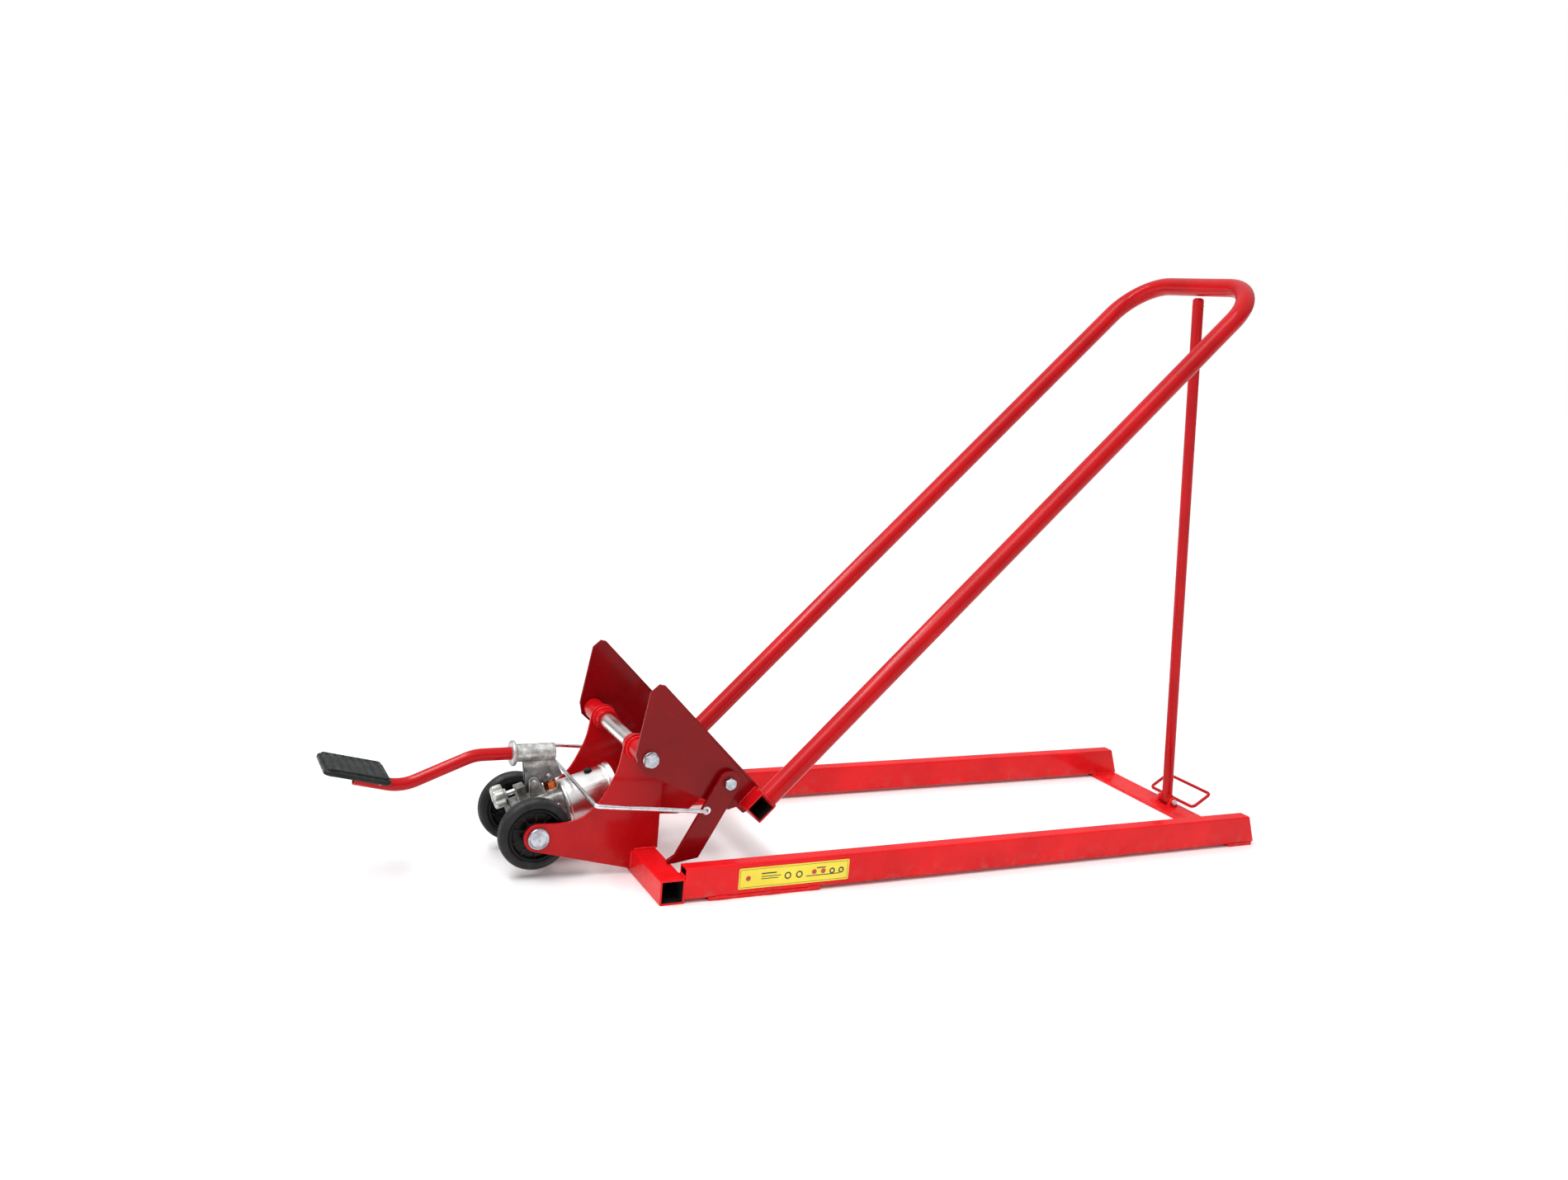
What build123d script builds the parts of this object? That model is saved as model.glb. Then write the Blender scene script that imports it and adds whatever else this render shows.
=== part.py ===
from build123d import *
import os
from math import atan, cos, degrees, radians, sin

os.makedirs("parts", exist_ok=True)

# Ride-on mower lift. Millimetres, +X to the rear along the rails, +Z up, origin on the floor
# under the middle of the front cross tube.

# base frame
TUBE = 40.0            # square front cross tube
WALL = 3.0
HALF_W = 215.0         # half of the overall width
RAIL_T = 25.0          # rail thickness across Y
RAIL_Z0 = 6.0          # rails stand on 6 mm feet
RAIL_H = 50.0
RAIL_END_LOW = 1160.0  # rail ends are cut on a slant
RAIL_END_TOP = 1142.0
RAIL_WALL = 2.5
CHEEK_Y0, CHEEK_Y1 = 80.0, 85.0

# pivots, all along Y, as (x, z)
P1 = (-24.0, 208.0)    # lift arm
P2 = (106.0, 166.0)    # safety legs
J = (-174.0, 71.0)     # wheel axle, which also carries the jack
Q = (78.0, 148.0)      # cross pin the ram pushes
H = (1136.0, 16.0)     # prop rod
SHAFT_R = 8.0
RUN = 0.06             # radial running clearance

# wheels
WHEEL_R = 57.0
WHEEL_Y0, WHEEL_Y1 = 52.0, 76.0
RIM_R = 43.0

# lift arm, in its own u (along the tube) and v (away from the pivot)
ARM_DEG = 45.0
ARM_V = 184.0          # tube centre line
ARM_U0 = 87.6          # lower end of the tube
ARM_U1 = 1314.0        # centre of the end bar
ARM_TUBE_R = 16.0
ARM_TUBE_WALL = 2.5
ARM_HALF = 165.0       # half spacing of the two tube legs
ARM_BEND = 85.0
CROSS_U, CROSS_V, CROSS_S = 70.0, 184.0, 35.0
PLATE_Y0, PLATE_Y1 = 140.0, 145.0

# safety legs and bail
LEG_Y0, LEG_Y1 = 150.0, 156.0
LEG_R = 19.0
BAIL_R = 3.25
BAIL_X, BAIL_Z = -108.0, 142.0
LEG_HOLE = (70.5, 123.9)

# prop rod
PROP_R = 10.0
PROP_LEN = 977.0
KNUCKLE_R = 9.0

# jack, in its own s (along the ram) and t (up from the ram)
JACK_DEG = 16.99
RES_R, RES_T = 36.0, 5.0
RAM_R = 13.0
SOCKET_S, SOCKET_T = 28.0, 60.0
PLUNGER_S, PLUNGER_T = 54.0, 60.0
SLEEVE_Z = 181.0
KNOB_T = 51.0          # release valve line
GLAND_T = 36.6         # underside of the pump gland nut


def save(name, shape):
    shape.label = name
    export_step(shape, f"parts/{name}.step")


def box(x0, x1, y0, y1, z0, z1):
    return Pos((x0 + x1) / 2, (y0 + y1) / 2, (z0 + z1) / 2) * Box(x1 - x0, y1 - y0, z1 - z0)


def disc(c, r, y0, y1):
    return Pos(c[0], (y0 + y1) / 2, c[1]) * Rot(90, 0, 0) * Cylinder(r, abs(y1 - y0))


def ring(c, r, bore, y0, y1):
    return disc(c, r, y0, y1) - disc(c, bore, y0 - 1, y1 + 1)


def hexagon(c, flats, y0, y1):
    face = RegularPolygon(flats / 2, 6, major_radius=False)
    return Pos(c[0], y1, c[1]) * Rot(90, 0, 0) * extrude(face, y1 - y0)


def face_xz(edges, y0, y1):
    return Pos(0, y1, 0) * Rot(90, 0, 0) * extrude(make_face(edges), y1 - y0)


def plate(points, y0, y1, corner=0.0):
    wire = Polyline(*points, close=True)
    face = make_face(wire)
    if corner:
        face = fillet(face.vertices(), corner)
    return Pos(0, y1, 0) * Rot(90, 0, 0) * extrude(face, y1 - y0)


def mirror_y(shape):
    return mirror(shape, about=Plane.XZ)


def both(shape):
    return Compound(children=[shape, mirror_y(shape)])


def arm(u, v):
    c, s = cos(radians(ARM_DEG)), sin(radians(ARM_DEG))
    return (P1[0] + u * c + v * s, P1[1] + u * s - v * c)


def jack_pt(s, t):
    c, k = cos(radians(JACK_DEG)), sin(radians(JACK_DEG))
    return (J[0] + s * c - t * k, J[1] + s * k + t * c)


def jack(shape):
    # local x = s, z = t
    return Pos(J[0], 0, J[1]) * Rot(0, -JACK_DEG, 0) * shape


def rod_s(r, s0, s1, t=0.0, y=0.0):
    return Pos((s0 + s1) / 2, y, t) * Rot(0, 90, 0) * Cylinder(r, s1 - s0)


def rod_t(r, t0, t1, s, y=0.0):
    return Pos(s, y, (t0 + t1) / 2) * Cylinder(r, t1 - t0)


# ---------------------------------------------------------------- base frame
front = box(-TUBE / 2, TUBE / 2, -HALF_W, HALF_W, 0, TUBE)
front = fillet(front.edges().filter_by(Axis.Y), 3)
front -= box(-TUBE / 2 + WALL, TUBE / 2 - WALL, -HALF_W - 1, HALF_W + 1, WALL, TUBE - WALL)
save("front_cross_tube", front)


def rail():
    y0, y1 = -HALF_W, -HALF_W + RAIL_T
    x0 = TUBE / 2
    z1 = RAIL_Z0 + RAIL_H
    outer = box(x0, RAIL_END_LOW, y0, y1, RAIL_Z0, z1)
    outer = fillet(outer.edges().filter_by(Axis.X), 3)
    inner = box(x0 - 1, RAIL_END_LOW + 1, y0 + RAIL_WALL, y1 - RAIL_WALL, RAIL_Z0 + RAIL_WALL, z1 - RAIL_WALL)
    low, top = RAIL_END_LOW, RAIL_END_TOP
    cut = plate([(low, RAIL_Z0), (low + 30, RAIL_Z0), (low + 30, z1 + 5), (top, z1 + 5), (top, z1)], y0 - 1, y1 + 1)
    return outer - inner - cut


save("side_rail_near", rail())
save("side_rail_far", mirror_y(rail()))

bar = box(1100, 1158, -HALF_W, HALF_W, 0, RAIL_Z0)
bar = fillet(bar.edges().filter_by(Axis.Z), 4)
save("rear_cross_bar", bar)

foot = box(60, 252, -HALF_W, -HALF_W + RAIL_T, 0, RAIL_Z0)
foot = fillet(foot.edges().filter_by(Axis.Z), 3)
save("foot_plates", both(foot))


def cheek():
    nose = 22.0
    a = (J[0] - 4, J[1] - nose)
    front_low = (-TUBE / 2, 8)
    edges = [
        Line(a, front_low),
        Line(front_low, (-TUBE / 2, TUBE)),
        Line((-TUBE / 2, TUBE), (22, TUBE)),
        Line((22, TUBE), (22, 178)),
        Line((22, 178), (-2.5, 213)),
        ThreePointArc((-2.5, 213), (P1[0] + 2, P1[1] + 22), (P1[0] - 21, P1[1] + 6)),
        Spline((P1[0] - 21, P1[1] + 6), (-52, 178), (-66, 144), (-79, 122), (-94, 107), (-114, 96),
               (-134, 92.5), (J[0] + 2, J[1] + nose), tangents=[(-0.27, -1), (-1, 0.03)]),
        ThreePointArc((J[0] + 2, J[1] + nose), (J[0] - nose, J[1]), a),
    ]
    body = face_xz(edges, -CHEEK_Y1, -CHEEK_Y0)
    flange = box(17, 22, -CHEEK_Y0, -60, TUBE, 172)
    flange = fillet(flange.edges().filter_by(Axis.X).sort_by(Axis.Z)[-1], 8)
    body = body + flange
    body -= disc(J, SHAFT_R, -90, -75)
    body -= disc(P1, SHAFT_R, -90, -75)
    return body


save("cheek_near", cheek())
save("cheek_far", mirror_y(cheek()))

# pivot stack on P1
save("pivot_collars", both(ring(P1, 17, SHAFT_R, -80, -62)))
save("pivot_spacer_tube", ring(P1, 12, SHAFT_R, -62, 62))
save("pivot_bosses", both(ring(P1, 17, SHAFT_R, -138, -85)))
head = fillet(hexagon(P1, 22, -154, -147.4).edges().sort_by(Axis.Y)[:6], 1.0)
save("pivot_bolt", disc(P1, SHAFT_R, -147.4, 156) + head)
save("pivot_washers", both(ring(P1, 12.5, SHAFT_R, 145.3, 147.4)))
save("pivot_nut", hexagon(P1, 22, 147.4, 155.4) - disc(P1, SHAFT_R, 140, 160))

# wheel axle
head = disc(J, 17, -91, -85)
head = fillet(head.edges().sort_by(Axis.Y)[0], 2.5)
save("wheel_axle", disc(J, SHAFT_R, -85, 92) + head)
cap = ring(J, 17, SHAFT_R, 85, 91)
save("axle_cap", cap)
save("axle_washers", both(ring(J, 14, SHAFT_R, 76.4, 80)))
save("axle_spacers", both(ring(J, 12, SHAFT_R, 28.4, 51.6)))


def wheel(sign):
    ya, yb = (WHEEL_Y0, WHEEL_Y1) if sign > 0 else (-WHEEL_Y1, -WHEEL_Y0)
    tyre = disc(J, WHEEL_R, ya, yb)
    tyre = fillet(tyre.edges(), 6)
    tyre -= disc(J, RIM_R, ya - 1, yb + 1)
    hub = disc(J, RIM_R, ya + 1, yb - 1)
    hub -= ring(J, 38, 17, ya - 1, ya + 7)
    hub -= ring(J, 38, 17, yb - 7, yb + 1)
    hub -= disc(J, 12, ya - 1, yb + 1)
    bush = ring(J, 12, SHAFT_R + RUN, ya + 0.2, yb - 0.2)
    return tyre, hub, bush


for side, sign in (("near", -1), ("far", 1)):
    tyre, hub, bush = wheel(sign)
    save(f"tyre_{side}", tyre)
    save(f"wheel_hub_{side}", hub)
    save(f"wheel_bush_{side}", bush)

# prop rod bracket
ear = face_xz([Line((1124, 6), (1148, 6)), Line((1148, 6), (1144, 16)),
               ThreePointArc((1144, 16), (1136, 24), (1128, 16)), Line((1128, 16), (1124, 6))], 14, 19)
ear -= disc(H, 4, 10, 25)
save("prop_bracket", both(ear))
pin = disc(H, 4, -22, 22) + disc(H, 6, -24, -19) + disc(H, 6, 19, 24)
save("prop_hinge_pin", pin)

# plain yellow sticker, no lettering
save("rail_sticker", box(108, 300, -HALF_W - 0.4, -HALF_W, 14, 48))

# ---------------------------------------------------------------- lift arm


def arm_plate():
    uv = [(-10, -23), (-3, -28), (70, -79), (88, -78), (93, -70), (93, 171), (88, 174), (52, 186),
          (46, 184), (45, 167), (33, 160), (-20, 14), (-21, -6)]
    pts = [arm(u, v) for u, v in uv]
    body = plate(pts, -PLATE_Y1, -PLATE_Y0)
    tube = square_bar(-200, 200, CROSS_S)
    body -= tube
    body -= disc(P1, SHAFT_R + RUN, -150, -135)
    body -= disc(P2, 6, -150, -135)
    return body


def square_bar(y0, y1, side):
    c = arm(CROSS_U, CROSS_V)
    bar_ = Box(side, y1 - y0, side)
    return Pos(c[0], (y0 + y1) / 2, c[1]) * Rot(0, -ARM_DEG, 0) * bar_


save("arm_plate_near", arm_plate())
save("arm_plate_far", mirror_y(arm_plate()))
save("arm_cross_tube", square_bar(-174, 174, CROSS_S) - square_bar(-175, 175, CROSS_S - 6))


def lift_tube(radius):
    pts = []
    for u, y in ((ARM_U0, -ARM_HALF), (ARM_U1, -ARM_HALF), (ARM_U1, ARM_HALF), (ARM_U0, ARM_HALF)):
        x, z = arm(u, ARM_V)
        pts.append((x, y, z))
    path = FilletPolyline(*pts, radius=ARM_BEND)
    section = Plane(origin=path @ 0, z_dir=path % 0) * Circle(radius)
    return sweep(section, path=path)


save("lift_tube", lift_tube(ARM_TUBE_R) - lift_tube(ARM_TUBE_R - ARM_TUBE_WALL))


def ram_lug():
    a, b = arm(CROSS_U - CROSS_S / 2, CROSS_V - CROSS_S / 2), arm(CROSS_U + CROSS_S / 2, CROSS_V - CROSS_S / 2)
    pts = [(36, 82), (66, 80), (84, 84), (97, 95), (109, 107), (120, 117), a, b, (138, 160),
           (114, 172), (78, 174), (54, 163), (38, 132)]
    return plate(pts, -48, -42) - disc(Q, 12, -50, -40)


save("ram_lugs", both(ram_lug()))
roller = disc(Q, 12, -50, 50)
roller = fillet(roller.edges(), 1.5)
save("ram_cross_pin", roller)

pin = disc(P2, 6, -163, -138) + hexagon(P2, 18, -163, -156.4)
pin += disc(P2, 9, -140, -136)
save("leg_pins", both(pin))
save("leg_washers", both(ring(P2, 14, 6, 145, 149.7)))

# ---------------------------------------------------------------- safety legs and bail


def safety_leg():
    d = (-0.478, -0.878)
    n = (0.878, -0.478)

    def at(s, w):
        return (P2[0] + s * d[0] + w * n[0], P2[1] + s * d[1] + w * n[1])

    toe = [at(138, -LEG_R), (12, 47), (12, 40.8), (23, 40.8), (62.6, 47)]
    edges = [Line(at(0, -LEG_R), toe[0])]
    edges += [Line(toe[i], toe[i + 1]) for i in range(4)]
    edges += [Line(toe[4], at(0, LEG_R)), ThreePointArc(at(0, LEG_R), at(-LEG_R, 0), at(0, -LEG_R))]
    body = face_xz(edges, -LEG_Y1, -LEG_Y0)
    body -= disc(P2, 6 + RUN, -160, -140)
    body -= disc(LEG_HOLE, BAIL_R, -160, -140)
    return body


save("safety_leg_near", safety_leg())
save("safety_leg_far", mirror_y(safety_leg()))

hx, hz = LEG_HOLE
pts = [(hx, -149, hz), (hx, -161, hz), (BAIL_X, -153, BAIL_Z), (BAIL_X, 153, BAIL_Z), (hx, 161, hz), (hx, 149, hz)]
path = FilletPolyline(*pts, radius=6)
section = Plane(origin=path @ 0, z_dir=path % 0) * Circle(BAIL_R)
save("bail_wire", sweep(section, path=path))

# ---------------------------------------------------------------- prop rod


def prop(shape):
    top = arm(ARM_U1, ARM_V)
    tilt = (top[0] - H[0]) / (top[1] - H[1])
    ang = degrees(atan(tilt))
    return Pos(H[0], 0, H[1]) * Rot(0, ang, 0) * shape


knuckle = ring(H, KNUCKLE_R, 4 + RUN, -13.5, 13.5)
save("prop_knuckle", knuckle)
rod = Pos(0, 0, (PROP_LEN - 14) / 2) * Cylinder(PROP_R, PROP_LEN - 14)
rod -= Pos(0, 0, (PROP_LEN - 14) / 2 + 12) * Cylinder(PROP_R - 2, PROP_LEN - 14)
rod -= Rot(90, 0, 0) * Cylinder(KNUCKLE_R, 40)
rod -= Pos(0, 0, -PROP_R) * Box(60, 60, 2 * PROP_R)
save("prop_rod", prop(rod))
tip = Pos(0, 0, PROP_LEN - 7) * Cylinder(PROP_R, 14)
tip = fillet(tip.edges().sort_by(Axis.Z)[-1], 6)
save("prop_tip", prop(tip))
LOOP = ((1147.4, 19.4), (1187.0, 44.0))
loop_pts = [(x, y, z) for (x, z), y in ((LOOP[0], -62), (LOOP[1], -62), (LOOP[1], 62), (LOOP[0], 62))]
path = FilletPolyline(*loop_pts, radius=8, close=True)
section = Plane(origin=path @ 0, z_dir=path % 0) * Circle(3)
save("kick_loop", sweep(section, path=path))

# ---------------------------------------------------------------- jack
base = box(-20, 66, -28, 28, -32, 34)
base = fillet(base.edges().filter_by(Axis.X), 10)
base -= box(-60, -12, -40, 40, 22, 40)
base += box(-2, 14, -10, 10, 30, KNOB_T + 7)
base += rod_t(11.8, 30, GLAND_T - 2.6, PLUNGER_S)
for y in (-14, 9):
    lug = face_xz([Line((12, 28), (46, 28)), Line((46, 28), (36, 60)),
                   ThreePointArc((36, 60), (28, 68), (20, 60)), Line((20, 60), (12, 28))], y, y + 5)
    base += lug
base -= box(14.01, 45.9, -8.9, 8.9, 34, 70)
base = jack(base)
base -= disc(J, SHAFT_R + RUN, -40, 40)
base -= jack(rod_s(RAM_R + RUN, 12.5, 70))
base -= jack(rod_t(5.5 + RUN, 18, 45, PLUNGER_S))
base -= jack(rod_s(4 + RUN, -10, 8, KNOB_T))
base -= disc(jack_pt(SOCKET_S, SOCKET_T), 4, -20, 20)
save("jack_base", base)

res = rod_s(RES_R, 66, 145, RES_T)
res = fillet(res.edges().sort_by(Axis.X)[0], 4)
res -= rod_s(RAM_R + RUN, 60, 150)
save("jack_reservoir", jack(res))
cap = rod_s(38.5, 145, 153, RES_T)
cap = fillet(cap.edges(), 1.5)
save("jack_top_cap", jack(cap - rod_s(RAM_R + RUN, 140, 160)))
nut = Pos(153, 0, 0) * Rot(0, 90, 0) * extrude(RegularPolygon(20, 6), 5)
save("jack_gland_nut", jack(nut - rod_s(RAM_R + RUN, 140, 170)))
save("filler_plug", jack(rod_t(6, 40.2, 45, 118) + rod_t(4, 38, 41, 118) - rod_s(RES_R, 60, 150, RES_T)))
ram = rod_s(RAM_R, 100, 242.4)
save("jack_ram", jack(ram))
pad = rod_s(20, 242.4, 250.4)
pad = fillet(pad.edges().sort_by(Axis.X)[-1], 2)
save("ram_saddle", jack(pad))

# pump
gland = Pos(PLUNGER_S, 0, GLAND_T) * extrude(RegularPolygon(10.5, 6), 48.2 - GLAND_T)
save("pump_gland_nut", jack(gland - rod_t(5.5 + RUN, 30, 50, PLUNGER_S)))
save("pump_ring", jack(rod_t(11.8, GLAND_T - 2.6, GLAND_T, PLUNGER_S) - rod_t(5.5 + RUN, 30, 50, PLUNGER_S)))
plunger = rod_t(5.5, 20, 48.4, PLUNGER_S) + Pos(PLUNGER_S, 0, 51) * Box(8, 6.4, 8)
eye = Pos(PLUNGER_S, 0, PLUNGER_T) * Rot(90, 0, 0) * Cylinder(10, 6.4)
plunger = plunger + eye
plunger -= Pos(PLUNGER_S, 0, PLUNGER_T) * Rot(90, 0, 0) * Cylinder(6.1, 20)
save("pump_plunger", jack(plunger))
S = jack_pt(SOCKET_S, SOCKET_T)
T = jack_pt(PLUNGER_S, PLUNGER_T)
save("socket_pivot_pin", disc(S, 4, -16.5, 16.5))

# release valve
save("valve_stem", jack(rod_s(4, -22, 6, KNOB_T)))
lobes = Circle(18.5)
for i in range(6):
    a = radians(60 * i)
    lobes += Pos(16.5 * cos(a), 16.5 * sin(a)) * Circle(7)
knob = Pos(-41, 0, KNOB_T) * Rot(0, 90, 0) * extrude(lobes, 21)
knob += rod_s(9, -20, -16, KNOB_T)
knob -= rod_s(4, -22, -10, KNOB_T)
save("release_knob", jack(knob))

# ---------------------------------------------------------------- pedal
sleeve = Pos(-165.5, 0, SLEEVE_Z) * Rot(0, 90, 0) * Cylinder(14, 69)
flange = Pos(-197.5, 0, SLEEVE_Z) * Rot(0, 90, 0) * Cylinder(20, 7)
sleeve = sleeve + fillet(flange.edges(), 1.5)
web = plate([(-181, 171), (-176, 134), (-172, 128), (-163, 126), (-152, 131), (-140, 135), (-116, 142.4),
             (-131.5, 171)], 4, 8)
sleeve = sleeve + web + mirror_y(web)
sleeve -= Pos(-175, 0, SLEEVE_Z) * Rot(0, 90, 0) * Cylinder(10, 66)
sleeve -= disc(S, 4 + RUN, -20, 20)
sleeve -= disc(T, 3.5, -20, 20)
save("handle_socket", sleeve)
save("plunger_pin", disc(T, 3.5, -8.6, 8.6))

tube_pts = [(-145, 0, SLEEVE_Z), (-257.5, 0, SLEEVE_Z), (-366, 0, 137.5), (-436, 0, 154.6)]
path = FilletPolyline(*tube_pts, radius=70)
outer = sweep(Plane(origin=path @ 0, z_dir=path % 0) * Circle(10), path=path)
inner = sweep(Plane(origin=path @ 0, z_dir=path % 0) * Circle(8), path=path)
save("pedal_tube", outer - inner)


def on_pedal(shape):
    # local x runs along the pad, z out of its top; origin mid-pad on the plate's underside
    return Pos(-437.5, 0, 165.4) * Rot(0, 13.7, 0) * shape


plate_ = Pos(0, 0, 2) * Box(96, 88, 4)
plate_ = fillet(plate_.edges().filter_by(Axis.Z), 6)
save("pedal_plate", on_pedal(plate_))
rubber = Pos(0, 0, 7.5) * Box(92, 84, 7)
rubber = fillet(rubber.edges().filter_by(Axis.Z), 5)
for i in range(7):
    rubber -= Pos(-36 + 12 * i, 0, 11) * Box(3, 70, 2)
save("pedal_pad", on_pedal(rubber))
studs = []
for x in (-36, 36):
    for y in (-32, 32):
        studs.append(Pos(x, y, -2.5) * extrude(RegularPolygon(5, 6), 2.5))
save("pedal_nuts", on_pedal(Compound(children=studs)))
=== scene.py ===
"""Looks of the foot-pumped ride-on mower lift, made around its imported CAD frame.

The scene is in metres. Measures of the part are written in millimetres and pass through at() or
MM. Lights, noise scales and bump depths are in metres. The near side is -Y, where the camera stands.
"""
import math
import random

import bpy
from mathutils import Matrix, Vector


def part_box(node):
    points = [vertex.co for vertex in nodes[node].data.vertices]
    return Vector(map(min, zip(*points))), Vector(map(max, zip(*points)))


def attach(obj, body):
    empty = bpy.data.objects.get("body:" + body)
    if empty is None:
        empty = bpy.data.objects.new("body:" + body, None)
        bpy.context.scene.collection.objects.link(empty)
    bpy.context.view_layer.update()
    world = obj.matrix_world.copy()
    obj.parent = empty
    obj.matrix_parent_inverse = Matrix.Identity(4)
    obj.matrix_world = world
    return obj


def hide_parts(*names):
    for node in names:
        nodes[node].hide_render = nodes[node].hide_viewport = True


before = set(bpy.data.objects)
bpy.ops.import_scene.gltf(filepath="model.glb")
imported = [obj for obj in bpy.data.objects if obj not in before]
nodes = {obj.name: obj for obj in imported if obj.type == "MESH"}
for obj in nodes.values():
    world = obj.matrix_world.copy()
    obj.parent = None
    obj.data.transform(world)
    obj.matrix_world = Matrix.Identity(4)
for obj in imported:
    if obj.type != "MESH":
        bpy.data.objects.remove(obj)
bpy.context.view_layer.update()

MM = 0.001
TAU = 2 * math.pi

# ---------------------------------------- places, from the frame


def middle(node):
    low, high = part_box(node)
    return (low + high) / 2


AXLE = middle("tyre_near")           # wheel axle, x and z
PIVOT = middle("pivot_nut")          # lift arm pivot
LEG_PIVOT = middle("leg_washers")    # safety leg pivot
PROP_HINGE = middle("prop_hinge_pin")
ARM_TILT = math.radians(45)
JACK_TILT = math.radians(16.99)
PEDAL_TILT = math.radians(13.7)
PEDAL_MID = Vector((-437.5, 0, 165.4)) * MM   # middle of the pedal plate's underside
ARM_V = 184.0         # from the pivot to the arm's tube line, across the tube
CROSS_U = 70.0        # the arm's cross tube, along the arm
TUBE_Y = 165.0        # from the middle to each leg of the lift tube
KNOB_T = 51.0         # release valve line above the ram line
TANK_T = 5.0          # reservoir line above the ram line
FOOT_TOP = 6.0        # top of the feet, underside of the rails
TUBE_TOP = 40.0       # top of the front cross tube
TUBE_HALF = 20.0
RAIL_IN = 190.0       # inner and outer faces of the side rails
RAIL_OUT = 215.0
CHEEK_IN = 80.0       # inner and outer faces of the cheeks
CHEEK_OUT = 85.0
PLATE_IN = 140.0      # inner and outer faces of the arm plates
PLATE_OUT = 145.0
PIVOT_OUT = 147.5     # outer faces of the pivot washers
LEG_OUT = 156.5       # outer faces of the leg washers


def at(x, y, z):
    return Vector((x, y, z)) * MM


BAIL_HOLE = at(70.5, 0, 123.9)        # where the bail wire enters the safety legs


def along_y(centre, y=0.0):
    """Local z becomes +Y, starting at y millimetres."""
    return Matrix.Translation((centre.x, y * MM, centre.z)) @ Matrix.Rotation(-math.pi / 2, 4, "X")


def toward_near(centre, y=0.0):
    """Local z becomes -Y, starting at y millimetres."""
    return Matrix.Translation((centre.x, y * MM, centre.z)) @ Matrix.Rotation(math.pi / 2, 4, "X")


SIDES = ((-1, toward_near), (1, along_y))   # near side, far side


def arm(u, y, v):
    """A point of the lift arm: u along the tube, v across it away from the pivot, in millimetres."""
    c, s = math.cos(ARM_TILT), math.sin(ARM_TILT)
    return Vector((PIVOT.x + (u * c + v * s) * MM, y * MM, PIVOT.z + (u * s - v * c) * MM))


JACK = Matrix.Translation((AXLE.x, 0, AXLE.z)) @ Matrix.Rotation(-JACK_TILT, 4, "Y")
PEDAL = Matrix.Translation(PEDAL_MID) @ Matrix.Rotation(PEDAL_TILT, 4, "Y")
RAM_WAY = JACK @ Matrix.Rotation(math.pi / 2, 4, "Y")   # local z runs along the ram


def jack(s, y, t):
    return JACK @ at(s, y, t)


# ---------------------------------------- camera, floor and light


def make_camera():
    azimuth, elevation, roll = math.radians(26.3), math.radians(10.6), math.radians(5.2)
    target, distance = at(246.5, 0, 440.8), 2.3381
    forward = Vector((math.sin(azimuth) * math.cos(elevation),
                      math.cos(azimuth) * math.cos(elevation), -math.sin(elevation)))
    right = forward.cross(Vector((0, 0, 1))).normalized()
    up = right.cross(forward)
    across = math.cos(roll) * right + math.sin(roll) * up
    above = math.cos(roll) * up - math.sin(roll) * right
    data = bpy.data.cameras.new("camera")
    data.sensor_width = 36
    data.lens = 32.31
    camera = bpy.data.objects.new("camera", data)
    bpy.context.scene.collection.objects.link(camera)
    turn = Matrix((across, above, -forward)).transposed().to_4x4()
    camera.matrix_world = Matrix.Translation(target - forward * distance) @ turn
    bpy.context.scene.camera = camera


def area_light(name, place, aim, size, power):
    data = bpy.data.lights.new(name, "AREA")
    data.shape = "RECTANGLE"
    data.size, data.size_y = size
    data.energy = power
    light = bpy.data.objects.new(name, data)
    bpy.context.scene.collection.objects.link(light)
    light.location = place
    light.rotation_euler = (Vector(aim) - Vector(place)).to_track_quat("-Z", "Y").to_euler()


def make_studio():
    """One wide soft sun from above the front left, a softbox for the tubes and a white room."""
    data = bpy.data.lights.new("soft_sky", "SUN")
    data.energy = 1.3
    data.angle = math.radians(38)
    sky = bpy.data.objects.new("soft_sky", data)
    bpy.context.scene.collection.objects.link(sky)
    sky.rotation_euler = Vector((0.42, 0.22, -0.88)).to_track_quat("-Z", "Y").to_euler()
    area_light("long_softbox", (-1.0, 0.3, 2.5), (0.4, 0, 0.4), (2.2, 0.3), 26)

    world = bpy.data.worlds.new("studio")
    bpy.context.scene.world = world
    world.use_nodes = True
    tree = world.node_tree
    fill = tree.nodes["Background"]
    fill.inputs["Color"].default_value = (0.98, 0.99, 1.0, 1)
    way = tree.nodes.new("ShaderNodeTexCoord")
    split = tree.nodes.new("ShaderNodeSeparateXYZ")
    dome = tree.nodes.new("ShaderNodeMapRange")
    for socket, value in (("From Min", 0.02), ("From Max", 0.75), ("To Min", 0.13), ("To Max", 0.98)):
        dome.inputs[socket].default_value = value
    tree.links.new(way.outputs["Generated"], split.inputs["Vector"])
    tree.links.new(split.outputs["Z"], dome.inputs["Value"])
    tree.links.new(dome.outputs["Result"], fill.inputs["Strength"])
    white = tree.nodes.new("ShaderNodeBackground")
    white.inputs["Strength"].default_value = 1.0
    white.inputs["Color"].default_value = (1, 1, 1, 1)
    seen = tree.nodes.new("ShaderNodeLightPath")
    choose = tree.nodes.new("ShaderNodeMixShader")
    tree.links.new(seen.outputs["Is Camera Ray"], choose.inputs["Fac"])
    tree.links.new(fill.outputs["Background"], choose.inputs[1])
    tree.links.new(white.outputs["Background"], choose.inputs[2])
    tree.links.new(choose.outputs["Shader"], tree.nodes["World Output"].inputs["Surface"])
    bpy.context.scene.view_settings.view_transform = "Standard"


# ---------------------------------------- materials


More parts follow.
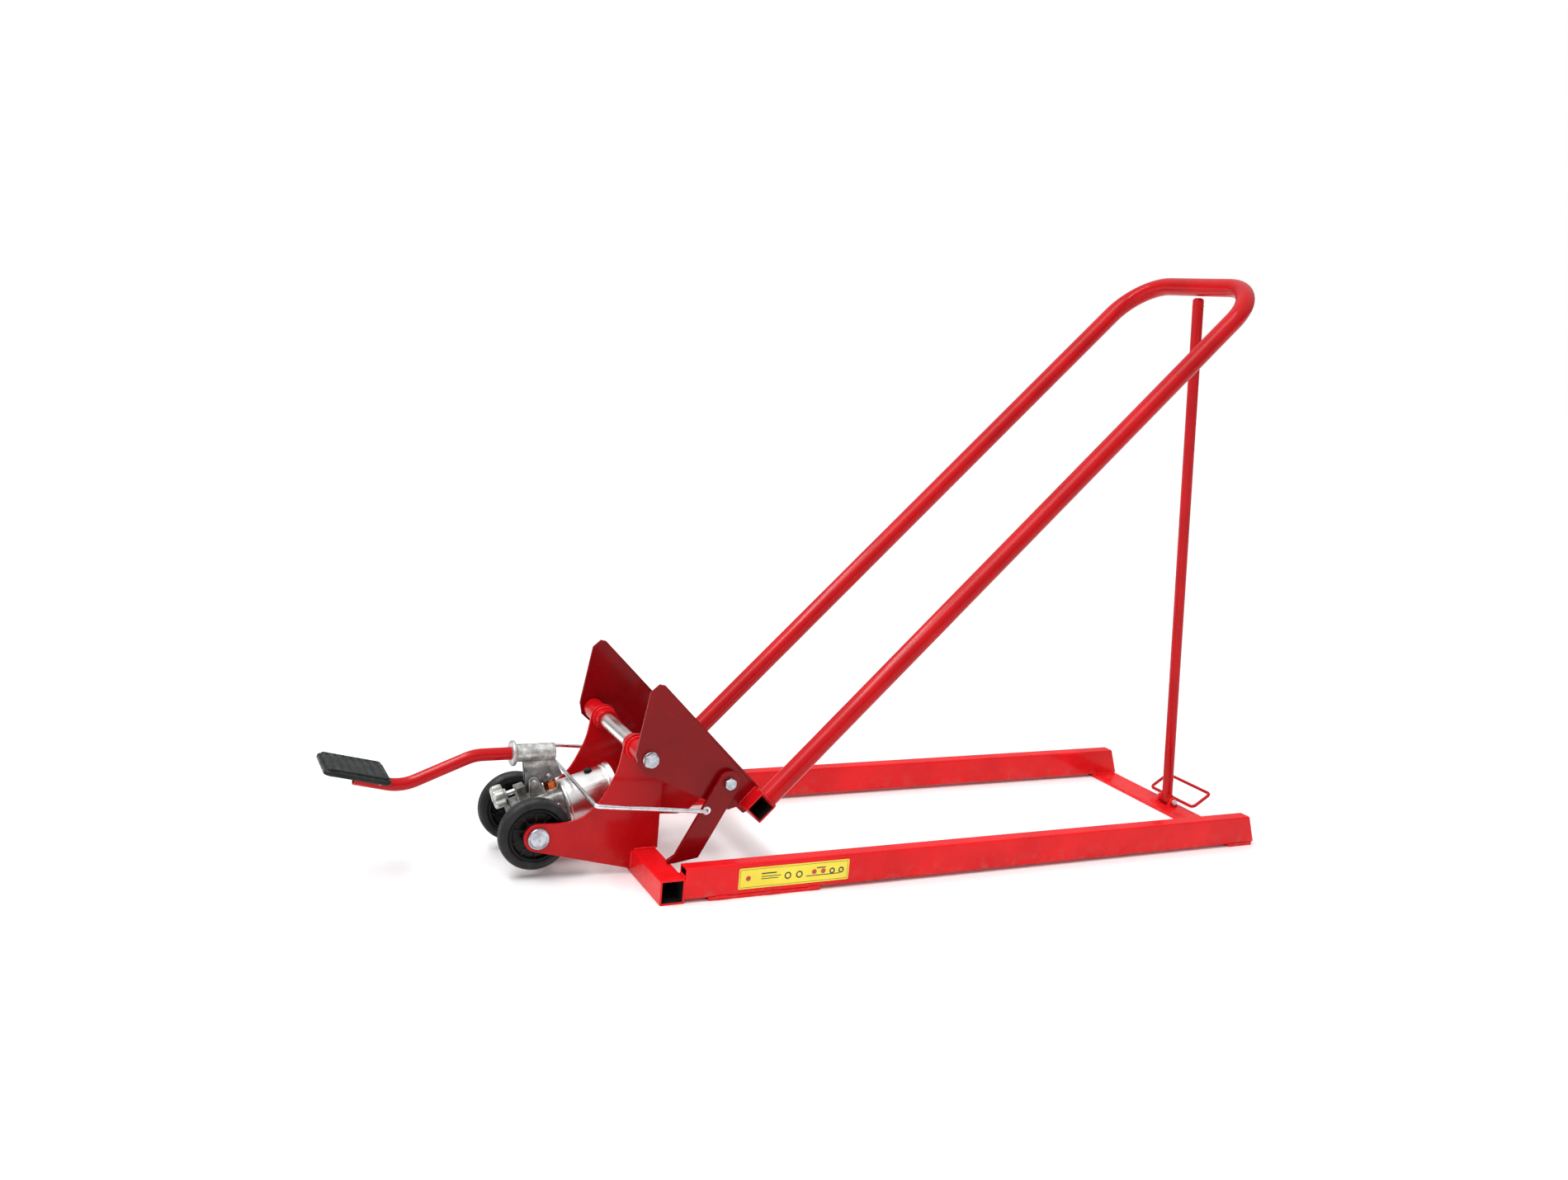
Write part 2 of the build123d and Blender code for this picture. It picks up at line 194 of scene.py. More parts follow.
class Finish:
    """One procedural material on a Principled shader, in the object's own space."""

    def __init__(self, name, constants):
        self.material = bpy.data.materials.new(name)
        self.material.use_nodes = True
        self.tree = self.material.node_tree
        self.shader = self.tree.nodes["Principled BSDF"]
        self.coords = self.add("ShaderNodeTexCoord").outputs["Object"]
        for socket, value in constants.items():
            self.shader.inputs[socket].default_value = value

    def add(self, kind, **settings):
        node = self.tree.nodes.new(kind)
        for key, value in settings.items():
            setattr(node, key, value)
        return node

    def feed(self, source, socket):
        """Links a socket, or sets a constant."""
        if isinstance(source, bpy.types.NodeSocket):
            self.tree.links.new(source, socket)
        elif isinstance(source, tuple):
            socket.default_value = (*source, 1.0)
        else:
            socket.default_value = source

    def noise(self, scale, detail=3.0, roughness=0.5, stretch=(1, 1, 1)):
        place = self.add("ShaderNodeMapping")
        place.inputs["Scale"].default_value = stretch
        self.feed(self.coords, place.inputs["Vector"])
        node = self.add("ShaderNodeTexNoise")
        self.feed(place.outputs["Vector"], node.inputs["Vector"])
        node.inputs["Scale"].default_value = scale
        node.inputs["Detail"].default_value = detail
        node.inputs["Roughness"].default_value = roughness
        return node.outputs["Fac"]

    def cells(self, scale):
        node = self.add("ShaderNodeTexVoronoi", feature="F1")
        self.feed(self.coords, node.inputs["Vector"])
        node.inputs["Scale"].default_value = scale
        return node.outputs["Distance"]

    def remap(self, value, low, high, to_low=0.0, to_high=1.0):
        node = self.add("ShaderNodeMapRange", interpolation_type="SMOOTHSTEP")
        self.feed(value, node.inputs["Value"])
        node.inputs["From Min"].default_value = low
        node.inputs["From Max"].default_value = high
        node.inputs["To Min"].default_value = to_low
        node.inputs["To Max"].default_value = to_high
        return node.outputs["Result"]

    def times(self, first, second):
        node = self.add("ShaderNodeMath", operation="MULTIPLY")
        self.feed(first, node.inputs[0])
        self.feed(second, node.inputs[1])
        return node.outputs["Value"]

    def plus(self, first, second):
        node = self.add("ShaderNodeMath", operation="ADD", use_clamp=True)
        self.feed(first, node.inputs[0])
        self.feed(second, node.inputs[1])
        return node.outputs["Value"]

    def mix(self, factor, first, second):
        node = self.add("ShaderNodeMix", data_type="RGBA")
        self.feed(factor, node.inputs[0])
        self.feed(first, node.inputs[6])
        self.feed(second, node.inputs[7])
        return node.outputs[2]

    def edges(self, radius):
        """About 1 on the object's edges and corners, 0 on its faces."""
        rounded = self.add("ShaderNodeBevel", samples=4)
        rounded.inputs["Radius"].default_value = radius
        true = self.add("ShaderNodeNewGeometry")
        dot = self.add("ShaderNodeVectorMath", operation="DOT_PRODUCT")
        self.feed(rounded.outputs["Normal"], dot.inputs[0])
        self.feed(true.outputs["Normal"], dot.inputs[1])
        return self.remap(dot.outputs["Value"], 0.985, 0.86)

    def facing_up(self):
        normal = self.add("ShaderNodeNewGeometry").outputs["Normal"]
        split = self.add("ShaderNodeSeparateXYZ")
        self.feed(normal, split.inputs["Vector"])
        return self.remap(split.outputs["Z"], 0.2, 0.95)

    def height(self):
        split = self.add("ShaderNodeSeparateXYZ")
        self.feed(self.coords, split.inputs["Vector"])
        return split.outputs["Z"]

    def near_floor(self, height):
        return self.remap(self.height(), height, 0.0)

    def bump(self, layers):
        """Layers of (height, depth in metres), one over the other."""
        normal = None
        for height, depth in layers:
            node = self.add("ShaderNodeBump")
            node.inputs["Strength"].default_value = 1.0
            node.inputs["Distance"].default_value = depth
            self.feed(height, node.inputs["Height"])
            if normal is not None:
                self.feed(normal, node.inputs["Normal"])
            normal = node.outputs["Normal"]
        self.feed(normal, self.shader.inputs["Normal"])

    def done(self, colour, roughness, layers):
        self.feed(colour, self.shader.inputs["Base Color"])
        self.feed(roughness, self.shader.inputs["Roughness"])
        self.bump(layers)
        return self.material


def red_paint(name, deep, bright):
    """Stove enamel: cloudy film, orange peel, chipped edges, fine rubs and floor dust."""
    f = Finish(name, {"Metallic": 0.0, "Coat Weight": 0.22, "Coat Roughness": 0.10,
                      "Specular IOR Level": 0.10})
    film = f.mix(f.remap(f.noise(11, 4), 0.3, 0.7), deep, bright)
    chips = f.times(f.edges(0.0016), f.remap(f.noise(170, 5, 0.65), 0.56, 0.66))
    rubs = f.remap(f.noise(46, 6, 0.7, (1, 1, 7)), 0.66, 0.78, 0.0, 0.35)
    dust = f.times(f.near_floor(0.05), f.remap(f.noise(60, 5, 0.7), 0.45, 0.8, 0.0, 0.35))
    colour = f.mix(rubs, film, (0.62, 0.07, 0.07))
    colour = f.mix(dust, colour, (0.30, 0.20, 0.17))
    colour = f.mix(chips, colour, (0.16, 0.09, 0.08))
    rough = f.plus(f.remap(f.noise(28, 4), 0.3, 0.7, 0.24, 0.36), f.times(f.plus(rubs, chips), 0.5))
    peel = f.noise(620, 2, 0.4)
    return f.done(colour, rough, [(peel, 0.00002), (f.noise(40, 2), 0.00003), (chips, -0.00010)])


def metal(name, dark, light, rough, grain, depth, blotch=120):
    """Bare or plated metal: blotched tone, uneven roughness, fine grain and worn bright edges."""
    f = Finish(name, {"Metallic": 1.0})
    tone = f.mix(f.remap(f.noise(blotch, 5, 0.6), 0.32, 0.68), dark, light)
    edge = f.times(f.edges(0.0009), 0.55)
    stains = f.remap(f.noise(34, 5, 0.65), 0.58, 0.74, 0.0, 0.4)
    colour = f.mix(stains, tone, tuple(0.55 * c for c in dark))
    colour = f.mix(edge, colour, tuple(min(1.0, 1.15 * c) for c in light))
    roughness = f.plus(f.remap(f.noise(blotch * 0.6, 4), 0.3, 0.7, *rough), f.times(stains, 0.3))
    return f.done(colour, roughness, [(f.noise(grain, 4, 0.6), depth), (f.noise(55, 2), 0.00012)])


def cast_metal(name, dark, light, grease=0.0, grease_top=0.0):
    """Sand-cast alloy: pitted skin, dark pits, grease in patches and all over below grease_top."""
    f = Finish(name, {"Metallic": 0.85})
    pits = f.remap(f.cells(430), 0.05, 0.45)
    tone = f.mix(f.remap(f.noise(70, 6, 0.65), 0.35, 0.68), dark, light)
    grime = f.remap(f.noise(24, 5, 0.7), 0.52, 0.72, 0.0, 0.65)
    if grease:
        low_down = f.remap(f.height(), grease_top, grease_top - 0.012, 0.0, grease)
        grime = f.plus(grime, f.times(low_down, f.remap(f.noise(60, 4), 0.2, 0.5, 0.6, 1.0)))
    colour = f.mix(grime, f.mix(pits, dark, tone), tuple(0.35 * c for c in dark))
    colour = f.mix(f.times(f.edges(0.0014), 0.5), colour, light)
    roughness = f.plus(f.remap(f.noise(90, 4), 0.3, 0.7, 0.34, 0.52), f.times(grime, 0.2))
    return f.done(colour, roughness, [(f.noise(380, 5, 0.65), 0.0003), (pits, 0.00012)])


def polymer(name, dark, light, rough, grain, depth, gloss=0.4, dusty=0.0):
    """Rubber, moulded plastic or the near-black lining of painted shade inside the tubes: scuffs on the
    edges, dust on what faces up.
    """
    f = Finish(name, {"Metallic": 0.0, "Specular IOR Level": gloss})
    tone = f.mix(f.remap(f.noise(50, 5, 0.6), 0.3, 0.7), dark, light)
    scuffs = f.times(f.edges(0.0015), f.remap(f.noise(140, 5, 0.7), 0.42, 0.62, 0.0, 0.6))
    haze = f.times(f.facing_up(), f.remap(f.noise(40, 6, 0.7), 0.35, 0.75, 0.0, dusty))
    colour = f.mix(f.plus(scuffs, haze), tone, (0.16, 0.155, 0.15))
    roughness = f.plus(f.remap(f.noise(75, 4), 0.3, 0.7, *rough), f.times(scuffs, 0.25))
    return f.done(colour, roughness, [(f.noise(grain, 4, 0.6), depth), (f.noise(90, 3), 0.00015)])


def sticker_vinyl(name, dark, light):
    """Printed vinyl: a faintly uneven tone with rubbed streaks."""
    f = Finish(name, {"Metallic": 0.0, "Coat Weight": 0.3, "Coat Roughness": 0.12})
    tone = f.mix(f.remap(f.noise(22, 4), 0.35, 0.65), dark, light)
    rubs = f.remap(f.noise(90, 6, 0.7, (0.4, 1, 2)), 0.62, 0.75, 0.0, 0.3)
    colour = f.mix(rubs, tone, tuple(0.7 * c for c in dark))
    roughness = f.remap(f.noise(60, 3), 0.3, 0.7, 0.3, 0.45)
    return f.done(colour, roughness, [(f.noise(160, 3), 0.00006)])


def make_finishes():
    """Every material, by the name that the pieces ask for."""
    return {
        "red_paint": red_paint("red_enamel", (0.70, 0.005, 0.008), (0.84, 0.009, 0.013)),
        # A darker copy of the red enamel for the tubes, cheeks and pedal parts: painted shade, not a
        # different paint.
        "red_tubes_painted_shade": red_paint("red_enamel_tubes_painted_shade", (0.43, 0.0025, 0.005), (0.53, 0.004, 0.007)),
        # A still darker copy of the red enamel for the arm plates and safety legs: painted shade.
        "red_plates_painted_shade": red_paint("red_enamel_plates_painted_shade", (0.20, 0.001, 0.003), (0.26, 0.0015, 0.004)),
        # Near-black sleeves inside the open square tubes: painted shade for their shadowed insides.
        "painted_shade_lining": polymer("painted_shade_lining", (0.010, 0.008, 0.008), (0.020, 0.016, 0.015),
                              rough=(0.6, 0.8), grain=500, depth=0.00015, gloss=0.2),
        "zinc_plate": metal("bright_zinc", (0.62, 0.63, 0.66), (0.84, 0.85, 0.88),
                            rough=(0.20, 0.36), grain=900, depth=0.00005),
        "zinc_heads": metal("dull_zinc_heads", (0.34, 0.35, 0.39), (0.56, 0.58, 0.62),
                            rough=(0.24, 0.40), grain=700, depth=0.00008, blotch=160),
        "tyre_rubber": polymer("grey_black_rubber", (0.008, 0.008, 0.009), (0.022, 0.022, 0.023),
                               rough=(0.40, 0.58), grain=900, depth=0.00018, gloss=0.26, dusty=0.35),
        "black_plastic": polymer("black_nylon", (0.002, 0.002, 0.002), (0.005, 0.005, 0.005),
                                 rough=(0.22, 0.36), grain=700, depth=0.00006, gloss=0.18, dusty=0.08),
        "bush_steel": metal("bush_steel", (0.36, 0.35, 0.34), (0.55, 0.54, 0.52),
                            rough=(0.30, 0.45), grain=1100, depth=0.00004),
        "sticker": sticker_vinyl("yellow_vinyl", (0.92, 0.74, 0.030), (0.97, 0.82, 0.045)),
        "sticker_ink": sticker_vinyl("dark_ink", (0.022, 0.020, 0.016), (0.045, 0.040, 0.032)),
        "sticker_red": sticker_vinyl("red_ink", (0.50, 0.03, 0.02), (0.62, 0.05, 0.03)),
        "jack_silver": metal("silver_cylinder", (0.84, 0.83, 0.81), (0.96, 0.96, 0.94),
                             rough=(0.24, 0.36), grain=300, depth=0.00003, blotch=30),
        # Darker than the socket's alloy: painted shade on the jack base, which sits in shadow between
        # the wheels.
        "cast_body": cast_metal("cast_alloy", (0.20, 0.195, 0.18), (0.58, 0.575, 0.55)),
        "cast_socket": cast_metal("cast_alloy_greasy", (0.36, 0.35, 0.34), (0.82, 0.82, 0.80),
                                  grease=0.75, grease_top=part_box("handle_socket")[1].z - 0.034),
        "ram_chrome": metal("ram_chrome", (0.70, 0.70, 0.72), (0.86, 0.86, 0.88),
                            rough=(0.07, 0.16), grain=1500, depth=0.00002),
        "copper_gland": metal("copper_gland", (0.55, 0.10, 0.020), (0.80, 0.20, 0.05),
                              rough=(0.25, 0.42), grain=800, depth=0.00006),
        "knob_cast": cast_metal("pale_casting", (0.46, 0.47, 0.43), (0.72, 0.73, 0.69)),
        "pad_rubber": polymer("pad_rubber", (0.005, 0.007, 0.006), (0.014, 0.017, 0.016),
                              rough=(0.30, 0.50), grain=800, depth=0.00012, gloss=0.26, dusty=0.12),
    }


# ---------------------------------------- mesh building


def mesh_piece(name, verts, faces, body, slot, finish=None, replaces=()):
    """A new piece from points in the row frame, riding on its body."""
    mesh = bpy.data.meshes.new(name)
    mesh.from_pydata([tuple(v) for v in verts], [], faces)
    mesh.validate()
    mesh.update()
    mesh.shade_smooth()
    mesh.materials.append(finishes[finish or slot])
    piece = bpy.data.objects.new(name, mesh)
    bpy.context.scene.collection.objects.link(piece)
    sharp = piece.modifiers.new("even_normals", "WEIGHTED_NORMAL")
    sharp.weight = 60
    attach(piece, body)
    if replaces:
        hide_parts(*replaces)
    return piece


def steady(value):
    """The same radius or height all the way round, for Shell.polar."""
    return lambda angle: value


class Shell:
    """Points and faces of one piece, gathered from several closed shells."""

    def __init__(self):
        self.verts, self.faces = [], []

    def rings(self, rows, close_rows=False, cap_start=False, cap_end=False):
        """Joins rows of points, each a closed ring of the same length."""
        base, wide, tall = len(self.verts), len(rows[0]), len(rows)
        for row in rows:
            self.verts.extend(row)
        for j in range(tall if close_rows else tall - 1):
            a, b = base + j * wide, base + (j + 1) % tall * wide
            for i in range(wide):
                k = (i + 1) % wide
                self.faces.append((a + i, a + k, b + k, b + i))
        if cap_start:
            self.faces.append(tuple(base + i for i in reversed(range(wide))))
        if cap_end:
            self.faces.append(tuple(base + (tall - 1) * wide + i for i in range(wide)))

    def lathe(self, place, profile, segments=72, ring=False):
        """profile is [(radius, height)] in millimetres about local z. ring closes it on itself."""
        rows = []
        for r, h in profile:
            rows.append([place @ at(r * math.cos(TAU * i / segments),
                                    r * math.sin(TAU * i / segments), h) for i in range(segments)])
        self.rings(rows, close_rows=ring, cap_start=not ring, cap_end=not ring)

    def polar(self, place, rows, segments=96, ring=False):
        """rows is [(radius function of angle, height function of angle)] in millimetres."""
        made = []
        for radius, height in rows:
            row = []
            for i in range(segments):
                a = TAU * i / segments
                r = radius(a)
                row.append(place @ at(r * math.cos(a), r * math.sin(a), height(a)))
            made.append(row)
        self.rings(made, close_rows=ring, cap_start=not ring, cap_end=not ring)

    def hexagon(self, place, flats, height, bore=0.0):
        """Hex head or nut from local z 0 up, chamfered on both ends; bore makes it a nut."""
        half = flats / 2
        rim = 0.96 * half

        def hex_r(a):
            return half / math.cos((a + math.pi / 6) % (math.pi / 3) - math.pi / 6)

        def drop(a):
            return max(0.0, hex_r(a) - rim) * math.tan(math.radians(30))

        rows = [(steady(rim), steady(0.0)), (hex_r, drop), (hex_r, lambda a: height - drop(a)),
                (steady(rim), steady(height))]
        if bore:
            rows += [(steady(bore + 0.8), steady(height)), (steady(bore), steady(height - 0.8)),
                     (steady(bore), steady(0.8)), (steady(bore + 0.8), steady(0.0))]
            self.polar(place, rows, 72, ring=True)
        else:
            rows += [(steady(0.72 * half), steady(height)), (steady(0.66 * half), steady(height - 0.35)),
                     (steady(0.08 * half), steady(height - 0.35))]
            rows.insert(0, (steady(0.1 * half), steady(0.0)))
            self.polar(place, rows, 72)

    def thread(self, place, radius, length, pitch=1.5):
        """A threaded end of that length from local z 0."""
        root = radius - 0.55 * pitch
        profile = [(root * 0.5, 0.0), (root, 0.0)]
        turns = int(length / pitch)
        for i in range(turns):
            profile += [(radius, (i + 0.35) * pitch), (radius, (i + 0.5) * pitch),
                        (root, (i + 0.9) * pitch)]
        profile += [(root, length - 0.4), (root - 0.8, length), (0.3, length)]
        self.lathe(place, profile, 40)

    def bead(self, points, radius, closed=False, seed=1):
        """A weld bead along points in the row frame, rippled like a row of overlapping coins."""
        chance = random.Random(seed)
        path = [Vector(p) for p in points]
        if closed:
            path.append(path[0])
        step = 0.16 * radius * MM
        pitch = 0.95 * radius * MM
        samples, run = [], 0.0
        for a, b in zip(path, path[1:]):
            span = (b - a).length
            count = max(1, round(span / step))
            for i in range(count):
                samples.append((a.lerp(b, i / count), run + span * i / count))
            run += span
        if not closed:
            samples.append((path[-1], run))
        sides, rows, tall = 9, [], len(samples)
        wobble = [chance.uniform(0.88, 1.1) for _ in range(int(run / pitch) + 3)]
        normal = None
        for i, (point, s) in enumerate(samples):
            ahead = samples[(i + 1) % tall][0] if closed or i + 1 < tall else point
            behind = samples[i - 1][0] if closed or i else point
            way = (ahead - behind).normalized()
            if normal is None:
                normal = way.orthogonal().normalized()
            normal = (normal - way * normal.dot(way)).normalized()
            other = way.cross(normal)
            coin, part = int(s / pitch), s / pitch % 1
            size = radius * MM * (0.86 + 0.18 * math.sqrt(1 - part * part))
            size *= wobble[coin] * (1 - part) + wobble[coin + 1] * part
            if not closed:
                end = min(s, run - s) / (radius * MM)
                size *= math.sqrt(max(0.03, min(1.0, end * (2 - min(end, 1.0)))))
            rows.append([point + size * (math.cos(TAU * k / sides) * normal
                                         + math.sin(TAU * k / sides) * other) for k in range(sides)])
        self.rings(rows, close_rows=closed, cap_start=not closed, cap_end=not closed)

    def piece(self, name, body, slot, finish=None, replaces=()):
        return mesh_piece(name, self.verts, self.faces, body, slot, finish, replaces)


def circle(place, radius, height=0.0, count=48):
    return [place @ at(radius * math.cos(TAU * i / count), radius * math.sin(TAU * i / count), height)
            for i in range(count)]


def arc(centre, radius, start, stop, count=6):
    """Points of a profile's round corner, angles in degrees from +r towards +z."""
    made = []
    for i in range(count + 1):
        a = math.radians(start + (stop - start) * i / count)
        made.append((centre[0] + radius * math.cos(a), centre[1] + radius * math.sin(a)))
    return made


# ---------------------------------------- carried-over CAD nodes

CAD_FINISH = {
    "red_paint": ["front_cross_tube", "side_rail_near", "side_rail_far", "rear_cross_bar",
                  "foot_plates", "prop_bracket"],
    # Darker copy of the red enamel: painted shade on these tubes, cheeks and pedal parts.
    "red_tubes_painted_shade": ["cheek_near", "cheek_far", "pivot_collars", "pivot_bosses", "arm_cross_tube",
                  "lift_tube", "ram_lugs", "prop_knuckle", "prop_rod", "prop_tip", "kick_loop",
                  "pedal_tube", "pedal_plate"],
    # Darkest copy of the red enamel: painted shade on the arm plates and safety legs.
    "red_plates_painted_shade": ["arm_plate_near", "arm_plate_far", "safety_leg_near", "safety_leg_far"],
    "zinc_plate": ["pivot_washers", "axle_washers", "axle_spacers",
                   "prop_hinge_pin", "ram_cross_pin", "leg_washers", "bail_wire",
                   "socket_pivot_pin", "plunger_pin", "valve_stem", "pump_ring"],
    "bush_steel": ["wheel_bush_near", "wheel_bush_far"],
    "jack_silver": ["pivot_spacer_tube", "jack_reservoir", "jack_top_cap", "jack_gland_nut"],
    # The jack base gets the darker alloy: painted shade.
    "cast_body": ["jack_base"],
    "cast_socket": ["handle_socket"],
    "ram_chrome": ["ram_saddle", "pump_plunger"],
    "copper_gland": ["pump_gland_nut"],
}

# width of the rounded edge, in millimetres
ROUNDED = {
    "side_rail_near": 0.4, "side_rail_far": 0.4, "front_cross_tube": 0.4, "rear_cross_bar": 0.8,
    "foot_plates": 0.8, "cheek_near": 0.8, "cheek_far": 0.8, "pivot_collars": 1.0,
    "pivot_bosses": 1.0, "prop_bracket": 0.6, "arm_cross_tube": 1.6, "ram_lugs": 0.7,
    "arm_plate_near": 0.9, "arm_plate_far": 0.9, "safety_leg_near": 0.9, "safety_leg_far": 0.9,
    "prop_knuckle": 0.5, "pedal_plate": 0.6, "pivot_washers": 0.3, "leg_washers": 0.4,
    "pivot_spacer_tube": 0.5, "axle_spacers": 0.5, "prop_hinge_pin": 0.5, "jack_gland_nut": 0.6,
    "pump_gland_nut": 0.5, "pump_ring": 0.4, "socket_pivot_pin": 0.5,
}

CAST_VOXEL = {"jack_base": 1.2, "handle_socket": 1.0}


def dress_cad():
    for finish, names in CAD_FINISH.items():
        for name in names:
            piece = nodes[name]
            piece.data.materials.clear()
            piece.data.materials.append(finishes[finish])
            weld = piece.modifiers.new("joined_seams", "WELD")
            weld.merge_threshold = 0.002 * MM
            if name in CAST_VOXEL:
                skin = piece.modifiers.new("cast_skin", "REMESH")
                skin.mode = "VOXEL"
                skin.voxel_size = CAST_VOXEL[name] * MM
                skin.use_smooth_shade = True
                soften = piece.modifiers.new("cast_radii", "SMOOTH")
                soften.factor, soften.iterations = 0.5, 5
                continue
            if name in ROUNDED:
                flats = piece.modifiers.new("whole_faces", "DECIMATE")
                flats.decimate_type = "DISSOLVE"
                flats.angle_limit = math.radians(0.4)
                bevel = piece.modifiers.new("rounded_edges", "BEVEL")
                bevel.width = ROUNDED[name] * MM
                bevel.segments = 3
                bevel.limit_method = "ANGLE"
                bevel.angle_limit = math.radians(40)
                bevel.use_clamp_overlap = False
            even = piece.modifiers.new("even_normals", "WEIGHTED_NORMAL")
            even.weight = 60


# ---------------------------------------- wheels


def make_wheel(side):
    """Solid rubber tyre on a ribbed nylon wheel, standing on the axle line."""
    low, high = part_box(f"tyre_{side}")
    half = (high.y - low.y) / 2 / MM
    radius = (high.z - low.z) / 2 / MM
    rim, shoulder, bore, ribs = 43.0, 7.0, 12.0, 10
    place = along_y(AXLE, (low.y + high.y) / 2 / MM)
    body = f"wheel_{side}_body"

    half_profile = [(rim, 0.0), (rim, half - 2.2), (rim + 1.2, half - 0.8), (rim + 2.6, half - 0.8),
                    (rim + 3.4, half - 0.1), (rim + 4.8, half - 0.1), (rim + 5.6, half - 0.9)]
    half_profile += arc((radius - shoulder - 0.2, half - shoulder - 0.6), shoulder, 80, 12, 7)
    half_profile += [(radius - 0.05, 4.1), (radius - 0.5, 3.7), (radius - 1.3, 3.4),
                     (radius - 1.3, 1.9), (radius - 0.5, 1.6), (radius, 1.2), (radius, 0.45),
                     (radius, 0.0)]
    other = [(r, -h) for r, h in reversed(half_profile[1:-1])]
    tyre = Shell()
    tyre.lathe(place, half_profile + other, 96, ring=True)
    tyre.piece(f"wheel_{side}_rubber", body, "tyre_rubber", replaces=(f"tyre_{side}",))

    face = half - 1.2
    hub_half = [(bore, 0.0), (bore, face - 0.6), (bore + 0.8, face), (16.4, face), (17.4, face - 1.0),
                (18.2, face - 5.6), (19.6, face - 6.4), (34.8, face - 6.4), (36.4, face - 5.6),
                (37.6, face - 1.0), (38.6, face - 0.2), (40.6, face - 0.2), (41.6, face - 1.0),
                (rim, face - 1.0), (rim, 0.0)]
    other = [(r, -h) for r, h in reversed(hub_half[1:-1])]
    hub = Shell()
    hub.lathe(place, hub_half + other, 96, ring=True)
    for flip, stagger in ((0.0, 0.0), (math.pi, 0.5)):
        for i in range(ribs):
            turn = Matrix.Rotation(TAU * (i + stagger) / ribs, 4, "Z")
            rib_place = place @ turn @ Matrix.Rotation(flip, 4, "X")
            rows = []
            for r, drop in ((16.8, 2.0), (22.0, 3.6), (30.0, 4.0), (38.0, 2.2)):
                top = face - drop
                rows.append([rib_place @ at(r, w, h) for w, h in
                             ((-1.5, face - 7.0), (-1.1, top - 0.3), (-0.7, top), (0.7, top),
                              (1.1, top - 0.3), (1.5, face - 7.0))])
            hub.rings(rows, cap_start=True, cap_end=True)
    hub.piece(f"wheel_{side}_nylon", body, "black_plastic", replaces=(f"wheel_hub_{side}",))


def make_axle():
    """Clevis pin with a dished head on the near side, and a domed push cap on the far side."""
    shank, head = 8.0, 17.0
    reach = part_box("wheel_axle")[1].y / MM + CHEEK_OUT
    profile = [(1.0, -reach), (shank - 0.8, -reach), (shank, 0.8 - reach), (shank, 0.0),
               (head - 1.2, 0.0), (head, 0.9)]
    profile += arc((head - 2.6, 3.4), 2.6, 10, 80, 5)
    profile += [(13.8, 5.3), (12.6, 4.6), (9.5, 4.7), (8.0, 5.1), (0.6, 5.1)]
    pin = Shell()
    pin.lathe(toward_near(AXLE, -CHEEK_OUT), profile)
    pin.piece("axle_pin", "base", "zinc_plate", "zinc_heads", replaces=("wheel_axle",))

    cap = Shell()
    profile = [(8.05, 0.0), (15.8, 0.0), (head, 0.9)] + arc((head - 2.6, 2.6), 2.6, 10, 80, 5)
    profile += [(11.5, 5.3), (10.6, 4.2), (8.6, 4.2), (8.05, 4.8)]
    cap.lathe(along_y(AXLE, CHEEK_OUT), profile, ring=True)
    cap.piece("axle_push_cap", "base", "zinc_plate", "zinc_heads", replaces=("axle_cap",))


# ---------------------------------------- bolts, pins and nuts


def make_pivot_bolt():
    """Hex bolt through the lift arm pivot with a lock nut on the far side."""
    shank, flats, head = 8.0, 22, 6.4
    bolt = Shell()
    bolt.hexagon(toward_near(PIVOT, -PIVOT_OUT), flats, head)
    length = 2 * PIVOT_OUT
    profile = [(2.0, 0.0), (shank, 0.0), (shank, length), (2.0, length)]
    bolt.lathe(along_y(PIVOT, -PIVOT_OUT - 0.1), profile, 48)
    bolt.thread(along_y(PIVOT, PIVOT_OUT - 0.3), shank - 0.1, 10.0)
    bolt.piece("pivot_bolt_hex", "base", "zinc_plate", "zinc_heads", replaces=("pivot_bolt",))

    nut = Shell()
    bore = shank + 0.05
    nut.hexagon(along_y(PIVOT, PIVOT_OUT), flats, head, bore=bore)
    collar = [(bore, 6.2), (10.2, 6.2), (10.2, 7.2), (9.6, 7.9), (bore, 7.9)]
    nut.lathe(along_y(PIVOT, PIVOT_OUT), collar, 60, ring=True)
    nut.piece("pivot_lock_nut", "base", "zinc_plate", replaces=("pivot_nut",))


def make_leg_pins():
    """Hex-headed pins that carry the safety legs, each with a nut inside the arm plate."""
    inner = PLATE_IN - 4.0
    shank, length = 5.98, LEG_OUT + 0.1 - inner
    pins = Shell()
    for sign, place in SIDES:
        pins.hexagon(place(LEG_PIVOT, sign * LEG_OUT), 18, 6.2)
        pins.lathe(place(LEG_PIVOT, sign * inner),
                   [(1.5, 0.0), (8.2, 0.0), (9.0, 0.8), (9.0, 3.4), (8.4, 4.0), (shank, 4.0),
                    (shank, length), (1.5, length)], 48)
    pins.piece("leg_pin_bolts", "lift_arm", "zinc_plate", "zinc_heads", replaces=("leg_pins",))


def make_pedal_nuts():
    """Four small nuts with thread ends under the pedal plate."""
    thread = 2.5
    studs = Shell()
    for x in (-36, 36):
        for y in (-32, 32):
            under = PEDAL @ Matrix.Translation(at(x, y, 0.0)) @ Matrix.Rotation(math.pi, 4, "X")
            studs.hexagon(under, 9, 2.5, bore=thread + 0.1)
            studs.thread(under @ Matrix.Translation(at(0, 0, -0.4)), thread, 4.4, 0.8)
    studs.piece("pedal_nuts_m5", "pedal", "zinc_plate", replaces=("pedal_nuts",))


